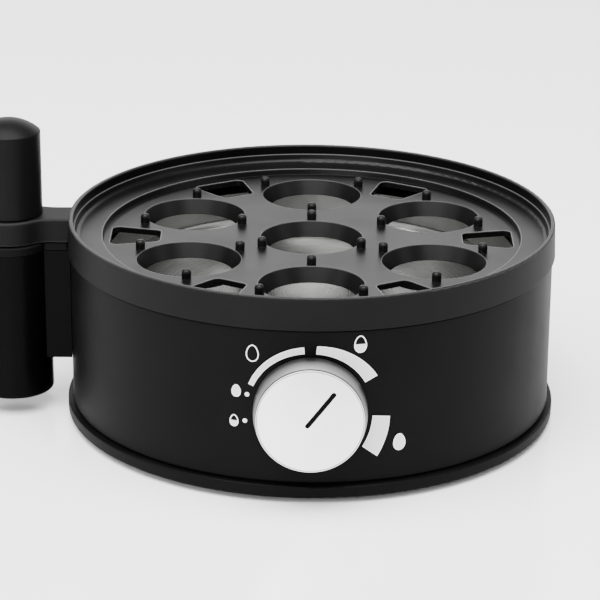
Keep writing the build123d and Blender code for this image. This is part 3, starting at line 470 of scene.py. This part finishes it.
seal_silicone = moulded("seal_silicone", (0.50, 0.12, 0.08), (0.60, 0.16, 0.11), rough=(0.42, 0.55),
                        grain=0.8 * mm, depth=0.01 * mm)
shader_of(seal_silicone).inputs["Subsurface Weight"].default_value = silicone_scatter
shader_of(seal_silicone).inputs["Subsurface Scale"].default_value = silicone_depth
print("inner plastics ready")

# %% [markdown]
# The board is green solder mask over a glass-fibre laminate. Its copper tracks show as slightly raised,
# lighter lines under the mask. A brick texture laid in the plane of the board makes right-angled tracks
# without drawing any.

# %% Circuit board
mask_dark, mask_light = (0.012, 0.09, 0.03), (0.03, 0.19, 0.07)
track_scale = 60.0
track_width = 0.03
track_height = 0.03 * mm
to_upright = (pi / 2, 0, 0)
board_mask = new_finish("board_mask", roughness=0.3)
board_place = add_node(board_mask, "Mapping", {"Vector": place_of(board_mask),
                                               "Rotation": to_upright}).outputs[0]
track_line = add_node(board_mask, "TexBrick", {"Vector": board_place, "Scale": track_scale,
                                               "Mortar Size": track_width}).outputs["Fac"]
link(board_mask, shades(board_mask, track_line, mask_dark, mask_light), "Base Color")
link(board_mask, dents(board_mask, track_line, track_height), "Normal")
print("circuit board ready")

# %% [markdown]
# ## Who wears what
# A finish is given to a CAD piece through its material slots, which changes nothing in its shape. One table
# says which pieces share a finish, and a count shows that none was forgotten.

# %% Finishes to pieces
wardrobe = {
    housing_black: ["body_shell", "bottom_cover", "column_collar"],
    column_black: ["side_column"],
    carrier_black: ["egg_carrier"],
    grip_black: ["handle_grip"],
    foot_rubber: ["rubber_feet"],
    gland_rubber: ["cord_gland"],
    knob_skirt_metal: ["knob_skirt"],
    knob_face_metal: ["knob_face"],
    pointer_black: ["knob_pointer"],
    shaft_metal: ["knob_shaft"],
    pan_steel: ["heating_pan"],
    seal_silicone: ["pan_seal"],
    cast_aluminium: ["heat_spreader"],
    element_sheath: ["heating_element"],
    terminal_brass: ["element_terminals", "terminal_screws"],
    zinc_plate: ["pan_strap", "pan_stud", "strap_nut", "strap_screws", "bottom_screws", "column_screws",
                 "handle_screw", "board_screws", "thermostat_bracket", "fuse_clamp"],
    phenolic_brown: ["thermostat"],
    fuse_metal: ["thermal_fuse"],
    board_mask: ["control_board"],
    control_metal: ["rotary_control"],
    relay_blue: ["relay"],
    buzzer_black: ["buzzer"],
    block_nylon: ["terminal_block"],
}
dressed = []
for material, names in wardrobe.items():
    for name in names:
        nodes[name].data.materials.clear()
        nodes[name].data.materials.append(material)
        dressed.append(name)
print("dressed", len(dressed), "of", len(nodes), "pieces; bare:", sorted(set(nodes) - set(dressed)))

# %% [markdown]
# ## The printed dial
# The dial is pad-printed in two passes: a white ink draws every outline, and a greyer tone, broken into tiny
# dots as printers do, fills the middles. The tone is a Voronoi texture whose cells sit in a regular grid, so
# each cell is one dot.

# %% Inks
dot_pitch = 0.15 * mm
ink_rough = (0.45, 0.6)


def ink(name, dark, light):
    """Matt printing ink on plastic, dotted on a regular grid between two greys."""
    material = new_finish(name, specular_ior_level=0.3)
    place = place_of(material)
    dots = add_node(material, "TexVoronoi", {"Vector": place, "Scale": 1 / dot_pitch, "Randomness": 0.0})
    link(material, shades(material, dots.outputs["Distance"], light, dark), "Base Color")
    link(material, between(material, speckle(material, place, dot_pitch), *ink_rough), "Roughness")
    return material


line_ink = ink("line_ink", (0.82, 0.81, 0.81), (0.88, 0.87, 0.87))
tone_ink = ink("tone_ink", (0.58, 0.57, 0.57), (0.68, 0.67, 0.67))
print("inks with dots", round(dot_pitch / mm, 2), "mm apart")

# %% [markdown]
# Each mark is drawn flat, with x to the right and z up from the knob's axis, and then bent round the wall. A
# flat face can't bend, so the marks are first cut into narrow upright strips. They reach a little into the
# wall, so that no edge of the ink floats in front of it.

# %% Draw a flat mark and bend it round the wall
ink_height = 0.06 * mm
ink_sink = 0.25 * mm
strip_width = 1.0 * mm
dial_shift = -0.2 * mm  # the print sits a little to the left of the axis
dial_z = knob_centre[2]
tone_slot = 1  # the second of a mark's two inks
over_all_marks = wall_radius  # a height that no mark reaches


def print_mark(name, shape):
    """Thickens a flat mark, cuts it into strips, bends it round the wall and lets it ride on the base."""
    raised = bmesh.ops.extrude_face_region(shape, geom=shape.faces[:])["geom"]
    raised_verts = [part for part in raised if isinstance(part, bmesh.types.BMVert)]
    bmesh.ops.translate(shape, verts=raised_verts, vec=(0, -ink_height - ink_sink, 0))
    cut = min(vertex.co.x for vertex in shape.verts) + strip_width
    right = max(vertex.co.x for vertex in shape.verts)
    while cut < right:
        everything = shape.verts[:] + shape.edges[:] + shape.faces[:]
        bmesh.ops.bisect_plane(shape, geom=everything, plane_co=(cut, 0, 0), plane_no=(1, 0, 0))
        cut += strip_width
    for vertex in shape.verts:
        turn = (vertex.co.x + dial_shift) / wall_radius
        reach = wall_radius - ink_sink - vertex.co.y
        vertex.co = (reach * sin(turn), -reach * cos(turn), dial_z + vertex.co.z)
    bmesh.ops.recalc_face_normals(shape, faces=shape.faces[:])
    mesh = bpy.data.meshes.new(name)
    shape.to_mesh(mesh)
    shape.free()
    mesh.materials.append(line_ink)
    mesh.materials.append(tone_ink)
    mark = bpy.data.objects.new(name, mesh)
    scene.collection.objects.link(mark)
    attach(mark, "base")


def draw_outline(shape, width, tone_top):
    """Leaves an outline round a flat mark, tones its middle up to a height, and takes out what is above."""
    middle = shape.faces[:]
    bmesh.ops.inset_region(shape, faces=middle, thickness=width * mm, use_boundary=True, use_even_offset=True)
    for face in middle:
        face.material_index = tone_slot
    everything = shape.verts[:] + shape.edges[:] + shape.faces[:]
    bmesh.ops.bisect_plane(shape, geom=everything, plane_co=(0, 0, tone_top), plane_no=(0, 0, 1))
    bare = [f for f in shape.faces if f.material_index == tone_slot and f.calc_center_median().z > tone_top]
    bmesh.ops.delete(shape, geom=bare, context="FACES")


print("wall radius", round(wall_radius / mm, 2), "mm")

# %% [markdown]
# A band says how long to cook, so it widens from soft to hard. It starts as one short radial edge. Spin
# sweeps that edge round the knob's axis, and then every point is moved out or in, so that both edges of the
# band follow the widening.

# %% Bands
bands = {  # for each end, its angle from three o'clock in degrees, and its inner and outer radius in mm
    "dial_band_soft": ((158.0, 20.1, 21.9), (95.3, 19.75, 22.05)),
    "dial_band_medium": ((84.4, 19.75, 22.45), (27.3, 20.35, 24.95)),
    "dial_band_hard": ((-7.25, 20.95, 26.95), (-37.25, 21.95, 28.35)),
}
band_steps = 28
band_line = 0.25
for name, ((from_angle, from_inner, from_outer), (to_angle, to_inner, to_outer)) in bands.items():
    shape = bmesh.new()
    start = Vector((cos(radians(from_angle)), 0, sin(radians(from_angle))))
    inner_end = shape.verts.new(start * from_inner * mm)
    outer_end = shape.verts.new(start * from_outer * mm)
    radial = shape.edges.new((inner_end, outer_end))
    bmesh.ops.spin(shape, geom=[inner_end, outer_end, radial], cent=(0, 0, 0), axis=(0, -1, 0),
                   angle=radians(to_angle - from_angle), steps=band_steps)
    halfway = (from_inner + from_outer) / 2 * mm
    for vertex in shape.verts:
        radius = hypot(vertex.co.x, vertex.co.z)
        share = (atan2(vertex.co.z, vertex.co.x) - radians(from_angle)) / radians(to_angle - from_angle)
        ends = (from_outer, to_outer) if radius > halfway else (from_inner, to_inner)
        vertex.co *= (ends[0] + share * (ends[1] - ends[0])) * mm / radius
    draw_outline(shape, band_line, over_all_marks)
    print_mark(name, shape)
print("printed", len(bands), "bands")

# %% [markdown]
# Beside each band is an egg sign, empty for soft, half full for medium and full for hard, and on the left two
# smaller ones with dots. An egg sign is a circle that is squeezed towards its top, and a dot is one that
# isn't.

# %% Dots and egg signs
disc_sides = 40
dot_size = 1.5
dot_line = 0.4
dial_dots = {"dial_dot_upper": (168.0, 21.2), "dial_dot_lower": (193.0, 22.0)}  # angle, and radius in mm
egg_point = 0.14
egg_line = 0.33
egg_signs = {  # angle, radius, width and height in mm, and how far it is full as a share of its half height
    "dial_egg_soft": (135.0, 26.85, 4.25, 5.9, -1.0),
    "dial_egg_medium": (54.3, 28.0, 4.15, 5.95, 0.0),
    "dial_egg_hard": (-23.2, 32.9, 4.25, 5.9, 1.0),
    "dial_egg_small_full": (167.7, 25.0, 3.15, 4.3, 1.0),
    "dial_egg_small_half": (191.8, 25.7, 3.0, 4.2, 0.0),
}


def flat_disc(at_angle, at_radius, width, height, point):
    """A flat disc on the dial, narrowed towards its top by the given share, and its centre."""
    shape = bmesh.new()
    upright = Matrix.Rotation(pi / 2, 4, "X")
    bmesh.ops.create_circle(shape, cap_ends=True, segments=disc_sides, radius=1, matrix=upright)
    for vertex in shape.verts:
        vertex.co.x *= 1 - point * vertex.co.z
    bmesh.ops.scale(shape, verts=shape.verts[:], vec=(width / 2 * mm, 1, height / 2 * mm))
    centre = Vector((cos(radians(at_angle)), 0, sin(radians(at_angle)))) * at_radius * mm
    bmesh.ops.translate(shape, verts=shape.verts[:], vec=centre)
    return shape, centre


for name, (angle, radius) in dial_dots.items():
    shape, _ = flat_disc(angle, radius, dot_size, dot_size, 0)
    draw_outline(shape, dot_line, over_all_marks)
    print_mark(name, shape)
for name, (angle, radius, width, height, full_share) in egg_signs.items():
    shape, centre = flat_disc(angle, radius, width, height, egg_point)
    draw_outline(shape, egg_line, centre.z + full_share * height / 2 * mm)
    print_mark(name, shape)
print("printed", len(dial_dots), "dots and", len(egg_signs), "egg signs")
